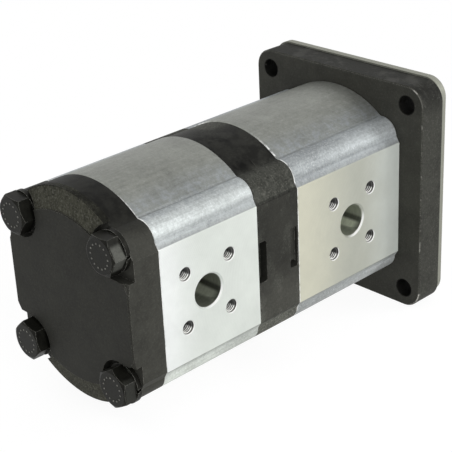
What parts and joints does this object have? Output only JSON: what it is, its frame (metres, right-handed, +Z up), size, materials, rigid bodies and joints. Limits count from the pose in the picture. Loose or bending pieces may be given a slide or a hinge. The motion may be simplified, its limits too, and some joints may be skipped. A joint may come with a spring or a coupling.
{
  "type": "tandem gear pump",
  "caption": "Tandem external gear pump: extruded bodies clamped between a cast rear cover and a rectangular mounting flange, ports on both sides, keyed taper drive shaft.",
  "frame": {"origin": "centre of the pilot, on the drive shaft's axis in the flange's mounting face", "axes": "+Y along the drive shaft out of the mounting flange, +X to the pressure ports, +Z up, from the driven gears to the drive shaft"},
  "size_m": [0.1053, 0.2316, 0.1132],
  "materials": {
    "dark_cast_iron": "phosphated dark grey, fine cast grain",
    "extruded_aluminium": "extruded satin, port flats milled",
    "black_steel": "black oxide, slightly oiled",
    "hardened_steel": "ground",
    "plated_steel": "zinc plated",
    "block_aluminium": "turned and milled",
    "bush_bronze": "lead bronze, bored",
    "seal_rubber": "moulded nitrile",
    "backup_plastic": "moulded"
  },
  "bodies": {
    "housing": {"mounting_flange": "dark_cast_iron", "front_body": "extruded_aluminium", "intermediate_plate": "dark_cast_iron", "rear_body": "extruded_aluminium", "rear_cover": "dark_cast_iron", "through_bolts": "black_steel", "spring_washers": "black_steel", "dowel_pins": "hardened_steel", "flange_joint_seal": "seal_rubber", "front_plate_joint_seal": "seal_rubber", "rear_plate_joint_seal": "seal_rubber", "cover_joint_seal": "seal_rubber", "shaft_seal": "seal_rubber", "seal_circlip": "plated_steel", "front_outer_bearing_block": "block_aluminium", "front_outer_bushes": "bush_bronze", "front_outer_axial_seal": "seal_rubber", "front_outer_backup_strip": "backup_plastic", "front_inner_bearing_block": "block_aluminium", "front_inner_bushes": "bush_bronze", "front_inner_axial_seal": "seal_rubber", "front_inner_backup_strip": "backup_plastic", "rear_inner_bearing_block": "block_aluminium", "rear_inner_bushes": "bush_bronze", "rear_inner_axial_seal": "seal_rubber", "rear_inner_backup_strip": "backup_plastic", "rear_outer_bearing_block": "block_aluminium", "rear_outer_bushes": "bush_bronze", "rear_outer_axial_seal": "seal_rubber", "rear_outer_backup_strip": "backup_plastic"},
    "drive_line": {"front_drive_gear": "hardened_steel", "rear_drive_gear": "hardened_steel", "shaft_coupling": "hardened_steel", "woodruff_key": "hardened_steel", "shaft_lock_washer": "plated_steel", "shaft_nut": "plated_steel"},
    "front_driven": {"front_driven_gear": "hardened_steel"},
    "rear_driven": {"rear_driven_gear": "hardened_steel"}
  },
  "joints": [
    {"name": "drive_shaft_spin", "type": "hinge", "parent": "housing", "child": "drive_line", "pos_m": [0, 0, 0], "axis": [0, 1, 0], "continuous": true},
    {"name": "front_driven_spin", "type": "hinge", "parent": "housing", "child": "front_driven", "pos_m": [0, -0.0514, -0.0342], "axis": [0, 1, 0], "continuous": true},
    {"name": "rear_driven_spin", "type": "hinge", "parent": "housing", "child": "rear_driven", "pos_m": [0, -0.1415, -0.0342], "axis": [0, 1, 0], "continuous": true}
  ],
  "couplings": [
    {"joint": "front_driven_spin", "follows": "drive_shaft_spin", "ratio": -1},
    {"joint": "rear_driven_spin", "follows": "drive_shaft_spin", "ratio": -1}
  ]
}
